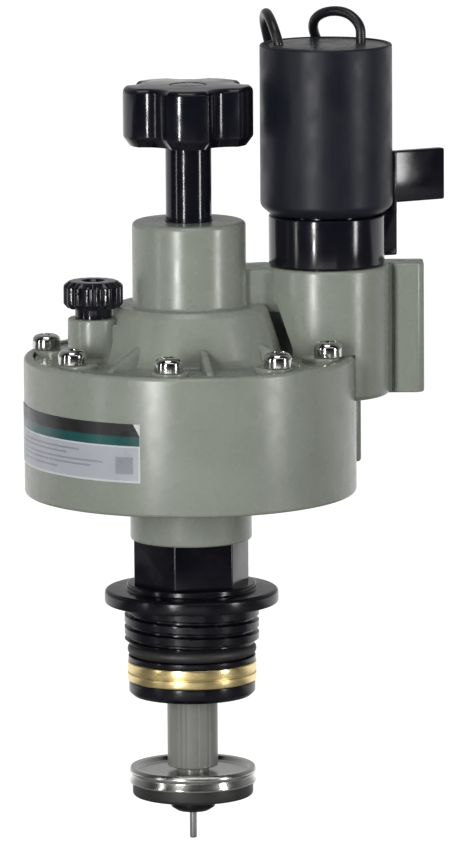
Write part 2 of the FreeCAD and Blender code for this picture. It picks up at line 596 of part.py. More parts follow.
def solenoid():
    """The coil, its core and the plunger, on the boss's axis."""
    spot = {"x": SIDE_X, "y": SIDE_Y}
    wall = "coil_radius - coil_wall"
    turned("solenoid_shell", [
        ("socket_radius - 2", "coil_low"), ("coil_radius - 2.2", "coil_low"),
        ("coil_radius - 0.7", "coil_low + 0.8"), ("coil_radius", "coil_low + 2.6"),
        ("coil_radius", "coil_high - 0.6"), ("coil_radius - 0.5", "coil_high"),
        ("coil_radius - 1.3", "coil_high"), ("coil_radius - 1.3", "coil_high - 3"),
        (wall, "coil_high - 3"), (wall, "coil_low + 3"), ("socket_radius - 2", "coil_low + 3"),
    ], **spot)
    tube("coil_potting", "coil_radius - 1.3 - press_gap", 0, "coil_high - 2.95", "coil_high - 0.4", **spot)
    hub = "tube_radius + press_gap"
    flange = f"{wall} - 0.5"
    turned("coil_bobbin", [
        (hub, "coil_low + 3.4"), (flange, "coil_low + 3.4"), (flange, "coil_low + 5"),
        ("tube_radius + 1.4", "coil_low + 5"), ("tube_radius + 1.4", "coil_high - 8"),
        (flange, "coil_high - 8"), (flange, "coil_high - 6.4"), (hub, "coil_high - 6.4"),
    ], **spot)
    tube("coil_winding", f"{wall} - 1.6", "tube_radius + 1.45", "coil_low + 5.05",
         "coil_high - 8.05", **spot)
    tube("flux_sleeve", f"{wall} - 0.05", f"{wall} - 0.45", "coil_low + 3.1", "coil_high - 6", **spot)
    tube("flux_washer", f"{wall} - 0.1", "tube_radius + 0.1", "coil_high - 5.9", "coil_high - 4.4", **spot)
    bore = "plunger_radius + slide_gap"
    turned("core_tube", [
        (bore, "socket_low + 8"), ("socket_radius - 3", "socket_low + 8"),
        ("socket_radius - 3", "socket_low + 10"), ("tube_radius", "socket_low + 10"),
        ("tube_radius", "coil_high - 4.2"), (bore, "coil_high - 4.2"),
    ], **spot)
    stop = "plunger_high + plunger_lift + 0.1"
    tube("pole_piece", f"{bore} - press_gap", 0, stop, "coil_high - 4.2", **spot)
    turned("plunger", [
        (0, "plunger_low"), (2.6, "plunger_low"), ("plunger_radius", "plunger_low + 1.4"),
        ("plunger_radius", "plunger_high"), (2.6, "plunger_high"), (2.6, "plunger_high - 9"),
        (0, "plunger_high - 9"),
    ], **spot)
    tube("plunger_seal", 2.2, 0, "plunger_low - 1.5", "plunger_low - 0.03", **spot)
    coil_spring("plunger_spring", 1.75, 0.35, "plunger_high - 8.95", "plunger_high + plunger_lift + 0.05",
                7, (SIDE_X, SIDE_Y))
    turned("seat_nozzle", [
        (0.8, "socket_low + 0.05"), (5.5, "socket_low + 0.05"), (5.5, "socket_low + 7.8"),
        (3.2, "socket_low + 7.8"), (1.6, "plunger_low - 1.53"), (0.8, "plunger_low - 1.53"),
    ], **spot)
    turned("solenoid_base", [
        ("tube_radius + press_gap", "socket_low + 10.1"), ("socket_radius - 2.9", "socket_low + 10.1"),
        ("socket_radius - 2.9", "socket_low + 7.9"), (5.6, "socket_low + 7.9"),
        (5.6, "socket_low + 0.05"), ("socket_radius - 2", "socket_low + 0.05"),
        ("socket_radius - 2", "boss_high - 5.4"), ("socket_radius - press_gap", "boss_high - 5.4"),
        ("socket_radius - press_gap", "coil_low - 0.03"), ("tube_radius + press_gap", "coil_low - 0.03"),
    ], **spot)
    ring("solenoid_o_ring", "socket_radius - 1.02", 0.95, z="boss_high - 7", **spot)


def bleed_lever():
    """The collar that turns on the solenoid's base, with an arm up to a finger tab."""
    body = new_body("bleed_lever")
    low = "boss_high + 0.25"
    inner = "socket_radius + slide_gap"
    turned_feature(body, [
        (inner, low), ("collar_radius - 0.3", low), ("collar_radius", f"{low} + 0.3"),
        ("collar_radius", "collar_high - 0.3"), ("collar_radius - 0.3", "collar_high"),
        (inner, "collar_high"),
    ])
    near, far = "coil_radius + 0.35", "coil_radius + 2.3"
    steps = (19, 27, 35, 43)

    def sweep(first, last):
        corners = [(f"({first}) * cos({a} * 1deg)", f"({first}) * sin({a} * 1deg)") for a in steps]
        corners += [(f"({last}) * cos({a} * 1deg)", f"({last}) * sin({a} * 1deg)")
                    for a in reversed(steps)]
        return corners

    foot, tab_high, tab_tall = "boss_high + 1.2", "collar_high + 14.3", 12.8
    raised(body, outline(body, "XY_Plane", sweep("collar_radius - 1", far), foot),
           f"collar_high - ({foot})")
    arm_foot = "collar_high - 1"
    raised(body, outline(body, "XY_Plane", sweep(near, far), arm_foot), f"{tab_high} + 0.4 - ({arm_foot})")
    # the tab leaves the arm at a slant
    lean = math.radians(28)
    length, thick = 16.4, 2.6
    root = Vector(math.cos(math.radians(31)), math.sin(math.radians(31)), 0) * (value("coil_radius") + 0.5)
    along = Vector(math.cos(lean), math.sin(lean), 0)
    side = Vector(-math.sin(lean), math.cos(lean), 0) * (thick / 2)
    tip = root + along * length
    plan = [root - side, tip - side, tip + side, root + side]
    corners = [(f"{p.x:.3f}", f"{p.y:.3f}") for p in plan]
    raised(body, outline(body, "XY_Plane", corners, f"{tab_high} - {tab_tall}"), tab_tall)
    place(body, SIDE_X, SIDE_Y)


# ---------------------------------------------------------------- lead wires

LEAD_ROUTES = {
    "lead_left": [(22.3, 7.8, 137.55), (21.2, 9.2, 141.2), (19.9, 13.4, 144.0), (19.1, 18.8, 144.2),
                  (18.8, 24.0, 141.4), (19.8, 27.2, 136.4), (21.5, 27.6, 130.2)],
    "lead_right": [(42.6, 14.0, 137.25), (42.6, 14.6, 141.2), (39.4, 17.0, 144.3),
                   (34.2, 20.2, 144.3), (30.6, 24.6, 141.4), (31.6, 27.4, 136.2), (35.9, 27.6, 130.2)],
}
HANK_MIDDLES = {"lead_left": 27.3, "lead_right": 41.7}


def route_path(points):
    """Straight runs joined by arcs that are as large as the runs allow."""
    spots = [Vector(*p) for p in points]
    edges, last = [], spots[0]
    radii = []
    for before, here, after in zip(spots, spots[1:], spots[2:]):
        into, out = here - before, after - here
        turn = into.getAngle(out)
        reach = 0.45 * min(into.Length, out.Length)
        radii.append(reach / math.tan(turn / 2))
        into.normalize()
        out.normalize()
        start, end = here - into * reach, here + out * reach
        bisector = (out - into).normalize()
        centre = here + bisector * (radii[-1] / math.cos(turn / 2))
        middle = centre - bisector * radii[-1]
        edges.append(Part.LineSegment(last, start).toShape())
        edges.append(Part.Arc(start, middle, end).toShape())
        last = end
    edges.append(Part.LineSegment(last, spots[-1]).toShape())
    return Part.Wire(edges), radii


def lead_wires():
    """Two leads that rise from the potting, fold over the back and hang there in hanks."""
    radius = value("wire_radius")
    for label, points in LEAD_ROUTES.items():
        path, radii = route_path(points)
        first = Vector(*points[1]) - Vector(*points[0])
        section = Part.Wire(Part.makeCircle(radius, Vector(*points[0]), first))
        tube_solid = path.makePipeShell([section], True, True)
        solid_group(label, [tube_solid])
        expected = math.pi * radius ** 2 * path.Length
        print(f"{label}: {path.Length:.1f} mm long, volume {tube_solid.Volume / expected:.3f} of expected,",
              "radii", " ".join(f"{r:.1f}" for r in radii))
        hank(label + "_hank", HANK_MIDDLES[label])


def hank(label, middle):
    """The space of one folded lead: an upright slab with round ends, behind the solenoid."""
    half_wide, long, thick = 7.15, 38.0, 12.8
    high, front = 132.6, 26.0
    slab = Part.makeBox(2 * half_wide, thick, long, Vector(middle - half_wide, front, high - long))
    upright = [e for e in slab.Edges if e.BoundBox.YLength > thick - 0.1]
    solid_group(label, [slab.makeFillet(half_wide - 0.05, upright)])


def label_sheet():
    """The adhesive label round the front left of the drum."""
    inner = value("drum_radius") + 0.03
    low, tall = value("label_low"), value("label_high - label_low")
    start, end = -90, -17
    up = Vector(0, 0, 1)
    shell = Part.makeCylinder(inner + value("label_thick"), tall, up * low, up, end - start)
    sector = shell.cut(Part.makeCylinder(inner, tall, up * low))
    sector.rotate(Vector(), Vector(0, 0, 1), start - 90)
    solid_group("label", [sector])


# ---------------------------------------------------------------- the whole head

lower_housing()
cover()
adapter()
barrel_rings()
stem_seals()
sliding_stem()
coil_spring("closing_spring", 14.2, 1.0, "plate_low + 3 * plate_thick + 0.05", "spring_roof - 0.05", 6)
flow_control()
bleed()
cover_screws()
solenoid()
bleed_lever()
lead_wires()
label_sheet()

doc.recompute()

for thing in doc.Objects:
    if "Invalid" in thing.State or "Error" in thing.State:
        raise RuntimeError(f"{thing.Label} failed: {thing.State}")

os.makedirs("parts", exist_ok=True)
KINDS = ("PartDesign::Body", "Part::Feature", "Part::Torus")
for thing in doc.Objects:
    if thing.TypeId in KINDS:
        if thing.Shape.isNull() or not thing.Shape.isValid():
            raise RuntimeError(f"{thing.Label} has no valid shape")
        thing.Shape.exportStep(f"parts/{thing.Label}.step")
        box = thing.Shape.BoundBox
        print(f"{thing.Label}: {len(thing.Shape.Solids)} solids, {thing.Shape.Volume:.0f} mm3,",
              f"z {box.ZMin:.1f} to {box.ZMax:.1f}")
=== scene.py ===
import math

import bmesh
import bpy
from mathutils import Matrix, Vector


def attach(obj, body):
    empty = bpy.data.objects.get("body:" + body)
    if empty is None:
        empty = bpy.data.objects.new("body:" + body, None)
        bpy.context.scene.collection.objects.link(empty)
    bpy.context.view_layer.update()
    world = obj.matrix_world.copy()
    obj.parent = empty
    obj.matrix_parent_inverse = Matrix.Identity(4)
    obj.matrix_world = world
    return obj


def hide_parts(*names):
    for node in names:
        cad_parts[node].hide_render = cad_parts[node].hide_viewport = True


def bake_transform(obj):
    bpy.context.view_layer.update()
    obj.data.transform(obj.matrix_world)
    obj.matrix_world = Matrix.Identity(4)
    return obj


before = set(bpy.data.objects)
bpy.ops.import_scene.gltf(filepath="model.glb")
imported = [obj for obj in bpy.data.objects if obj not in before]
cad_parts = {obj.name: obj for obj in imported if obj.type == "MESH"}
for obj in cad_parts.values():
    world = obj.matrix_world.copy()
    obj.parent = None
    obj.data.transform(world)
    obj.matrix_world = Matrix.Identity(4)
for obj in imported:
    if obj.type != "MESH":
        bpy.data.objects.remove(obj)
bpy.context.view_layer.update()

# Lengths are in millimetres until a mesh is made. The main axis is Z, with Z = 0 at the underside of
# the adapter's flange. Angles round an axis start at the front (-Y) and grow towards +X.
MM = 0.001
WELD_METRES = 2e-6

# Driving sizes: radii about each part's own axis, and heights.
BARREL_RADIUS, THREAD_ROOT, THREAD_CREST, THREAD_PITCH = 15.75, 15.5, 16.65, 3.0
THREAD_LOW, THREAD_HIGH = -10.0, -0.8
STEM_RADIUS, SHANK_RADIUS, SPINDLE_RADIUS, HEX_FLATS, HEX_TURN = 6.25, 4.0, 5.65, 25.3, -16
NECK_RADIUS, NECK_LOW, SPIGOT_RADIUS, SPIGOT_HIGH = 15.0, 15.9, 11.0, 24.1
DRUM_RADIUS, DRUM_BORE, DRUM_LOW, DRUM_HIGH = 40.9, 38.5, 27.7, 61.9
CHAMBER_RADIUS, CHAMBER_FLOOR, CLAMP_LOW, CLAMP_HIGH = 29.5, 29.3, 54.0, 56.0
DECK_HIGH, PAD_HIGH, PAD_CIRCLE, SCREW_CIRCLE = 61.3, 62.6, 33.8, 35.7
HUB_RADIUS, HUB_LOW, HUB_HIGH = 14.0, 74.4, 95.0
BOSS_RADIUS, BOSS_LOW, BOSS_HIGH, SOCKET_RADIUS, SOCKET_FLOOR = 15.5, 50.4, 82.8, 11.6, 73.8
COIL_RADIUS, COIL_LOW, COIL_HIGH = 16.3, 95.7, 137.4


def around(angle, reach, centre=(0, 0)):
    """The point at an angle in degrees and a distance from a centre."""
    turn = math.radians(angle)
    return centre[0] + reach * math.sin(turn), centre[1] - reach * math.cos(turn)


SIDE_ANGLE, BLEED_ANGLE = 104.5, -75.5
SIDE = around(SIDE_ANGLE, 35)
BLEED = around(BLEED_ANGLE, 24.3)
SCREW_ANGLES = [BLEED_ANGLE + side * turn for turn in (22.5, 67.5, 112.5, 147) for side in (1, -1)]


# ---------------------------------------------------------------- meshes

def solid(name, spots, faces):
    """A mesh object from points in millimetres, welded and with its normals outwards."""
    data = bpy.data.meshes.new(name)
    data.from_pydata([Vector(spot) * MM for spot in spots], [], faces)
    form = bmesh.new()
    form.from_mesh(data)
    bmesh.ops.remove_doubles(form, verts=form.verts, dist=WELD_METRES)
    bmesh.ops.recalc_face_normals(form, faces=form.faces)
    form.to_mesh(data)
    form.free()
    piece = bpy.data.objects.new(name, data)
    bpy.context.scene.collection.objects.link(piece)
    return piece


def rounded(corners, step=14):
    """The points of a closed profile. A corner is (across, up) or (across, up, radius of its rounding)."""
    points = []
    for number, corner in enumerate(corners):
        here = Vector(corner[:2])
        if len(corner) == 2:
            points.append(tuple(here))
            continue
        back = Vector(corners[number - 1][:2]) - here
        ahead = Vector(corners[(number + 1) % len(corners)][:2]) - here
        half = back.angle(ahead) / 2
        reach = min(corner[2] / math.tan(half), 0.49 * back.length, 0.49 * ahead.length)
        back.normalize()
        ahead.normalize()
        centre = here + (back + ahead).normalized() * (reach / math.cos(half))
        first, last = here + back * reach - centre, here + ahead * reach - centre
        sweep = math.pi - 2 * half
        steps = max(2, math.ceil(math.degrees(sweep) / step))
        for count in range(steps + 1):
            part = count / steps
            way = first * math.sin((1 - part) * sweep) + last * math.sin(part * sweep)
            points.append(tuple(centre + way / math.sin(sweep)))
    return points


def lathe(name, corners, centre=(0, 0), steps=144, shape=None):
    """A closed profile turned about an upright axis; shape(radius, height, angle) may change a radius."""
    profile = rounded(corners)
    spots = []
    for radius, height in profile:
        for count in range(steps):
            angle = 360 * count / steps
            reach = shape(radius, height, angle) if shape else radius
            spots.append((*around(angle, reach, centre), height))
    faces = []
    for row in range(len(profile)):
        following = (row + 1) % len(profile)
        if profile[row][0] == profile[following][0] == 0:
            continue
        for count in range(steps):
            after = (count + 1) % steps
            faces.append((row * steps + count, row * steps + after,
                          following * steps + after, following * steps + count))
    return solid(name, spots, faces)


def prism(name, plan, low, high, bevel=0.0, bevel_steps=3):
    """An upright prism over a plan of (x, y) points, with its edges rounded."""
    count = len(plan)
    spots = [(x, y, low) for x, y in plan] + [(x, y, high) for x, y in plan]
    faces = [tuple(range(count)), tuple(range(count, 2 * count))]
    faces += [(n, (n + 1) % count, count + (n + 1) % count, count + n) for n in range(count)]
    piece = solid(name, spots, faces)
    if bevel:
        soften(piece, bevel, bevel_steps)
    return piece


def soften(piece, width, steps=3, limit=35):
    """Rounds the edges that turn by more than the limit in degrees."""
    change = piece.modifiers.new("bevel", "BEVEL")
    change.width = width * MM
    change.segments = steps
    change.limit_method = "ANGLE"
    change.angle_limit = math.radians(limit)
    settle(piece)


def settle(piece):
    """Turns what the modifiers show into the object's own mesh."""
    ready = piece.evaluated_get(bpy.context.evaluated_depsgraph_get())
    data = bpy.data.meshes.new_from_object(ready)
    old = piece.data
    piece.modifiers.clear()
    piece.data = data
    bpy.data.meshes.remove(old)
    data.name = piece.name


def joined(name, pieces):
    """Several pieces that don't touch, as one object."""
    form = bmesh.new()
    for piece in pieces:
        form.from_mesh(piece.data)
        bpy.data.objects.remove(piece)
    data = bpy.data.meshes.new(name)
    form.to_mesh(data)
    form.free()
    piece = bpy.data.objects.new(name, data)
    bpy.context.scene.collection.objects.link(piece)
    return piece


def combine(piece, operation, *tools):
    """Applies one boolean operation with each tool in turn, and uses the tools up."""
    for tool in tools:
        change = piece.modifiers.new("combine", "BOOLEAN")
        change.operation = operation
        change.solver = "EXACT"
        change.object = tool
        settle(piece)
        bpy.data.objects.remove(tool)
    return piece


def tube_along(name, points, radius, steps=12):
    """A round wire through a list of points, closed at both ends."""
    spots, faces = [], []
    way = [Vector(point) for point in points]
    across = None
    for number, here in enumerate(way):
        ahead = (way[min(number + 1, len(way) - 1)] - way[max(number - 1, 0)]).normalized()
        across = across or ahead.orthogonal()
        across = (across - ahead * across.dot(ahead)).normalized()
        third = ahead.cross(across)
        for count in range(steps):
            turn = 2 * math.pi * count / steps
            spots.append(here + (across * math.cos(turn) + third * math.sin(turn)) * radius)
    for row in range(len(way) - 1):
        for count in range(steps):
            after = (count + 1) % steps
            faces.append((row * steps + count, row * steps + after,
                          (row + 1) * steps + after, (row + 1) * steps + count))
    faces += [tuple(range(steps)), tuple(range(len(spots) - steps, len(spots)))]
    return solid(name, spots, faces)


def arc(centre, radius, first, last, steps):
    """Points round a centre from one angle to another."""
    return [around(first + (last - first) * n / steps, radius, centre) for n in range(steps + 1)]


def sector(centre, inner, outer, first, last, steps):
    """The plan of the piece of a ring between two angles."""
    return arc(centre, outer, first, last, steps) + arc(centre, inner, last, first, steps)


def keep(piece, body, slot, finish, *replaced, sharp=32):
    """Gives a piece its material and shading, and ties it to the frame. A piece given no body is tied to
    nothing.
    """
    piece.data.materials.clear()
    piece.data.materials.append(finish)
    piece.data.shade_smooth()
    piece.data.set_sharp_from_angle(angle=math.radians(sharp))
    if body:
        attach(piece, body)
    if replaced:
        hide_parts(*replaced)
    return piece


# ---------------------------------------------------------------- materials

def coordinates(tree, kind):
    """The X, Y and Z of one kind of texture coordinate."""
    place = tree.nodes.new("ShaderNodeTexCoord")
    split = tree.nodes.new("ShaderNodeSeparateXYZ")
    tree.links.new(place.outputs[kind], split.inputs["Vector"])
    return split.outputs


def mapped(tree, source, before, after):
    """A value carried from one range to another and held at its ends."""
    change = tree.nodes.new("ShaderNodeMapRange")
    change.inputs["From Min"].default_value, change.inputs["From Max"].default_value = before
    change.inputs["To Min"].default_value, change.inputs["To Max"].default_value = after
    tree.links.new(source, change.inputs["Value"])
    return change.outputs["Result"]


def bumped(tree, source, height):
    """A bump node of a height in millimetres."""
    bump = tree.nodes.new("ShaderNodeBump")
    bump.inputs["Strength"].default_value = 1.0
    bump.inputs["Distance"].default_value = height * MM
    tree.links.new(source, bump.inputs["Height"])
    return bump


def paint(name, colour, rough, metal=0.0, drift=0.1, spread=0.08, grain=0.5, depth=0.02, wave=0.0,
          stretch=(1, 1, 1), specular=0.5):
    """A procedural finish: colour and roughness drift over centimetres, and a fine bump.

    grain is the bump's size and depth its height, in millimetres. wave is the height of slow swells.
    """
    material = bpy.data.materials.new(name)
    material.use_nodes = True
    tree = material.node_tree
    nodes, links = tree.nodes, tree.links
    cloud_middle = (0.3, 0.7)
    shader = nodes["Principled BSDF"]
    shader.inputs["Metallic"].default_value = metal
    shader.inputs["Specular IOR Level"].default_value = specular
    place = nodes.new("ShaderNodeTexCoord")
    scaled = nodes.new("ShaderNodeMapping")
    scaled.inputs["Scale"].default_value = stretch
    links.new(place.outputs["Object"], scaled.inputs["Vector"])

    def noise(size, detail, source):
        """Noise with features of about a size in millimetres."""
        cloud = nodes.new("ShaderNodeTexNoise")
        cloud.inputs["Scale"].default_value = 1 / (size * MM)
        cloud.inputs["Detail"].default_value = detail
        links.new(source, cloud.inputs["Vector"])
        return cloud.outputs["Fac"]

    blend = nodes.new("ShaderNodeMix")
    blend.data_type = "RGBA"
    blend.inputs["A"].default_value = (*[c * (1 - drift) for c in colour], 1)
    blend.inputs["B"].default_value = (*[min(1, c * (1 + drift)) for c in colour], 1)
    slow = noise(11, 4, place.outputs["Object"])
    links.new(mapped(tree, slow, cloud_middle, (0, 1)), blend.inputs["Factor"])
    links.new(blend.outputs["Result"], shader.inputs["Base Color"])
    patchy = noise(5, 5, scaled.outputs["Vector"])
    roughness = mapped(tree, patchy, cloud_middle, (max(0.02, rough - spread), rough + spread))
    links.new(roughness, shader.inputs["Roughness"])
    bump = bumped(tree, noise(grain, 3, scaled.outputs["Vector"]), depth)
    if wave:
        swell = bumped(tree, noise(8, 1, place.outputs["Object"]), wave)
        links.new(swell.outputs["Normal"], bump.inputs["Normal"])
    links.new(bump.outputs["Normal"], shader.inputs["Normal"])
    return material


HOUSING = paint("housing_sage", (0.222, 0.24, 0.205), 0.27, drift=0.05, spread=0.05, grain=0.35,
                depth=0.012, wave=0.03)
ADAPTER = paint("adapter_black", (0.004, 0.004, 0.007), 0.2, drift=0.2, grain=0.6, depth=0.01, wave=0.04,
                specular=0.32)
GLOSS = paint("gloss_black", (0.005, 0.005, 0.009), 0.13, drift=0.2, spread=0.04, grain=0.8, depth=0.006,
              wave=0.04, specular=0.4)
COIL = paint("coil_blue_black", (0.009, 0.01, 0.016), 0.4, drift=0.15, grain=0.3, depth=0.02, wave=0.03,
             specular=0.24)
POTTING = paint("potting_resin", (0.03, 0.032, 0.036), 0.3, drift=0.2, grain=1.2, depth=0.05, wave=0.1)
STEM = paint("stem_grey", (0.2, 0.205, 0.19), 0.34, drift=0.08, grain=0.4, depth=0.02, stretch=(1, 1, 0.1))
BRASS = paint("turned_brass", (0.86, 0.69, 0.34), 0.26, metal=1, drift=0.1, grain=0.3, depth=0.02,
              stretch=(0.05, 0.05, 1))
BRIGHT = paint("bright_steel", (0.62, 0.62, 0.6), 0.14, metal=1, drift=0.05, grain=0.3, depth=0.012,
               stretch=(0.1, 0.1, 1))
STEEL = paint("drawn_steel", (0.45, 0.45, 0.44), 0.3, metal=1, drift=0.08, grain=0.3, depth=0.01)
RUBBER = paint("black_rubber", (0.016, 0.016, 0.016), 0.5, drift=0.25, grain=0.25, depth=0.03)
NYLON = paint("natural_nylon", (0.72, 0.68, 0.57), 0.45, drift=0.06, grain=0.4, depth=0.02)
COPPER = paint("copper_wire", (0.7, 0.32, 0.17), 0.3, metal=1, drift=0.1, grain=0.3, depth=0.06,
               stretch=(0.05, 0.05, 1))
FILM = paint("label_border", (0.5, 0.53, 0.53), 0.32, drift=0.03, grain=0.5, depth=0.004)
RULE = paint("label_rule", (0.24, 0.25, 0.28), 0.32, drift=0.06, grain=0.5, depth=0.004)
PANEL = paint("label_panel", (0.36, 0.37, 0.415), 0.32, drift=0.04, grain=0.5, depth=0.004)
TEAL = paint("label_teal", (0.005, 0.065, 0.065), 0.28, drift=0.12, grain=0.5, depth=0.004)
INK = paint("label_ink", (0.012, 0.012, 0.013), 0.3, drift=0.15, grain=0.5, depth=0.004)
WIRE = paint("wire_insulation", (0.008, 0.008, 0.011), 0.34, drift=0.2, grain=0.5, depth=0.02)


# ---------------------------------------------------------------- camera, light and floor

def camera():
    """Almost level and far away, as a long lens on a studio table would be."""
    data = bpy.data.cameras.new("camera")
    data.sensor_fit = "HORIZONTAL"
    data.sensor_width = 36
    aim = Vector((0.011, 0, 0.0448))
    spot = Vector((aim.x, -2.0, 0.362))
    view_width = 0.115764
    data.lens = data.sensor_width * (aim - spot).length / view_width
    eye = bpy.data.objects.new("camera", data)
    look = (aim - spot).to_track_quat("-Z", "Y")
    roll = Matrix.Rotation(math.radians(-0.38), 4, "Z")
    eye.matrix_world = Matrix.Translation(spot) @ look.to_matrix().to_4x4() @ roll
    bpy.context.scene.collection.objects.link(eye)
    bpy.context.scene.camera = eye


def soft_box(name, angle, height, distance, size, power):
    """A rectangular light aimed at the middle of the object; angle is as in around()."""
    data = bpy.data.lights.new(name, "AREA")
    data.shape = "RECTANGLE"
    data.size, data.size_y = size
    data.energy = power
    light = bpy.data.objects.new(name, data)
    light.location = (*around(angle, distance), height)
    light.rotation_euler = (Vector((0, 0, 0.06)) - light.location).to_track_quat("-Z", "Y").to_euler()
    bpy.context.scene.collection.objects.link(light)


def surroundings():
    """A tent that is white behind, dark in front and dimmer above the horizon."""
    bpy.context.scene.view_settings.view_transform = "Standard"
    world = bpy.data.worlds.new("studio")
    world.use_nodes = True
    tree = world.node_tree
    way = coordinates(tree, "Generated")
    depth = mapped(tree, way["Y"], (-0.15, 0.8), (0.03, 1.0))
    lift = mapped(tree, way["Z"], (-0.03, 0.12), (1.0, 0.4))
    both = tree.nodes.new("ShaderNodeMath")
    both.operation = "MULTIPLY"
    tree.links.new(depth, both.inputs[0])
    tree.links.new(lift, both.inputs[1])
    sky = tree.nodes["Background"]
    tree.links.new(both.outputs["Value"], sky.inputs["Strength"])
    sky.inputs["Color"].default_value = (1, 1, 1, 1)
    bpy.context.scene.world = world


def lights():
    """Three upright strips in front, low lights for the metal rings, and soft light from above."""
    soft_box("key", -24, 0.22, 1.1, (0.10, 0.42), 7.2)
    soft_box("left_strip", -63, 0.2, 1.1, (0.06, 0.7), 1.1)
    soft_box("right_strip", 60, 0.2, 1.1, (0.12, 0.6), 4.6)
    soft_box("low_glint", -24, -0.075, 1.1, (0.05, 0.07), 1.3)
    soft_box("front_panel", 6, 0.95, 1.0, (2.0, 0.18), 1.9)
    soft_box("floor_strip", 2, -0.135, 0.85, (0.6, 0.045), 0.13)
    soft_box("top", -10, 1.15, 0.35, (0.6, 0.6), 3.2)


def floor():
    """A grey floor that glows white from a little way behind the object."""
    bpy.ops.mesh.primitive_plane_add(size=8, location=(0, 0, -0.16))
    plane = bpy.context.object
    plane.name = "floor"
    surface = bpy.data.materials.new("floor_paint")
    surface.use_nodes = True
    tree = surface.node_tree
    shader = tree.nodes["Principled BSDF"]
    shader.inputs["Base Color"].default_value = (0.3, 0.3, 0.3, 1)
    shader.inputs["Roughness"].default_value = 0.9
    shader.inputs["Emission Color"].default_value = (1, 1, 1, 1)
    glow = mapped(tree, coordinates(tree, "Object")["Y"], (0.2, 0.45), (0.0, 1.0))
    tree.links.new(glow, shader.inputs["Emission Strength"])
    plane.data.materials.append(surface)


# ---------------------------------------------------------------- drum and cover

def drum():
    """The lower housing: a drum with a neck, hollows from below and a port rib under the solenoid."""
    socket, socket_roof = SPIGOT_RADIUS + 0.05, SPIGOT_HIGH + 0.2
    shell = lathe("drum_shell", [
        (socket, NECK_LOW), (NECK_RADIUS, NECK_LOW, 0.7), (NECK_RADIUS, DRUM_LOW, 0.6),
        (DRUM_RADIUS, DRUM_LOW, 0.9), (DRUM_RADIUS, DRUM_HIGH, 1.1), (DRUM_BORE, DRUM_HIGH, 0.4),
        (DRUM_BORE, CLAMP_LOW), (CHAMBER_RADIUS, CLAMP_LOW), (CHAMBER_RADIUS, CHAMBER_FLOOR),
        (7.2, CHAMBER_FLOOR), (7.2, socket_roof), (socket, socket_roof),
    ], steps=192)
    hollows = []
    for turn, spread in ((0, 14), (45, 14), (-45, 14), (90, 14), (-90, 14), (129.75, 8), (-129.75, 8),
                         (180, 23)):
        first, last = BLEED_ANGLE + turn - spread, BLEED_ANGLE + turn + spread
        plan = sector((0, 0), CHAMBER_RADIUS + 2, DRUM_BORE - 0.5, first, last, 8)
        hollows.append(prism("hollow", plan, 26, CLAMP_LOW - 3, 0.8))
    combine(shell, "DIFFERENCE", joined("hollows", hollows))
    plan = [around(SIDE_ANGLE - 5.5, 40), around(SIDE_ANGLE - 4, 43.1), around(SIDE_ANGLE + 4, 43.1),
            around(SIDE_ANGLE + 5.5, 40)]
    combine(shell, "UNION", prism("rib", plan, 33.4, 49.7, 0.9))
    keep(shell, "housing", "housing_plastic", HOUSING, "drum")


def gusset(angle):
    """A thin web that slopes from the hub down to the deck and is wider at its foot."""
    foot, crest = 1.1, 0.75
    profile = [(18, 60.8, foot), (33.2, 60.8, foot), (32.6, 61.9, crest), (20.8, 66.4, crest),
               (18, 67, crest)]
    spots = [(side * half, -reach, height) for side in (-1, 1) for reach, height, half in profile]
    count = len(profile)
    faces = [tuple(range(count)), tuple(range(count, 2 * count))]
    faces += [(n, (n + 1) % count, count + (n + 1) % count, count + n) for n in range(count)]
    turn = Matrix.Rotation(math.radians(angle), 3, "Z")
    piece = solid("gusset", [turn @ Vector(spot) for spot in spots], faces)
    soften(piece, 0.35, 2, 25)
    return piece


def solenoid_boss():
    """The boss and its lug, cut away where the drum and the hub are."""
    boss = lathe("boss", [
        (0, BOSS_LOW), (BOSS_RADIUS, BOSS_LOW, 1.4), (BOSS_RADIUS, BOSS_HIGH, 0.8),
        (SOCKET_RADIUS, BOSS_HIGH, 0.4), (SOCKET_RADIUS, SOCKET_FLOOR), (0, SOCKET_FLOOR),
    ], SIDE, steps=144)
    lug = prism("lug", [(SIDE[0], 9), (56.3, 9), (57.9, 10.3), (57.9, 17.7), (SIDE[0], 17.7)],
                BOSS_LOW + 0.02, BOSS_HIGH - 0.02, 0.6)
    combine(boss, "UNION", lug)
    slit = prism("slit", [(51.4, 12.8), (59, 12.8), (59, 13.9), (51.4, 13.9)], 75.8, BOSS_HIGH + 1.2)
    groove = prism("groove", [(49.9, 8), (50.7, 8), (50.7, 9.7), (49.9, 9.7)], 49, BOSS_HIGH + 1.2)
    combine(boss, "DIFFERENCE", slit, groove)
    gap = 0.07
    room = lathe("room", [
        (0, 40), (DRUM_RADIUS + gap, 40), (DRUM_RADIUS + gap, DRUM_HIGH + gap),
        (DRUM_BORE + 0.1, DRUM_HIGH + gap), (DRUM_BORE + 0.1, DECK_HIGH - 0.4), (25.6, DECK_HIGH - 0.4),
        (25.6, 63.6), (21.6, HUB_LOW - 0.4), (0, HUB_LOW - 0.4),
    ], steps=192)
    return combine(boss, "DIFFERENCE", room)


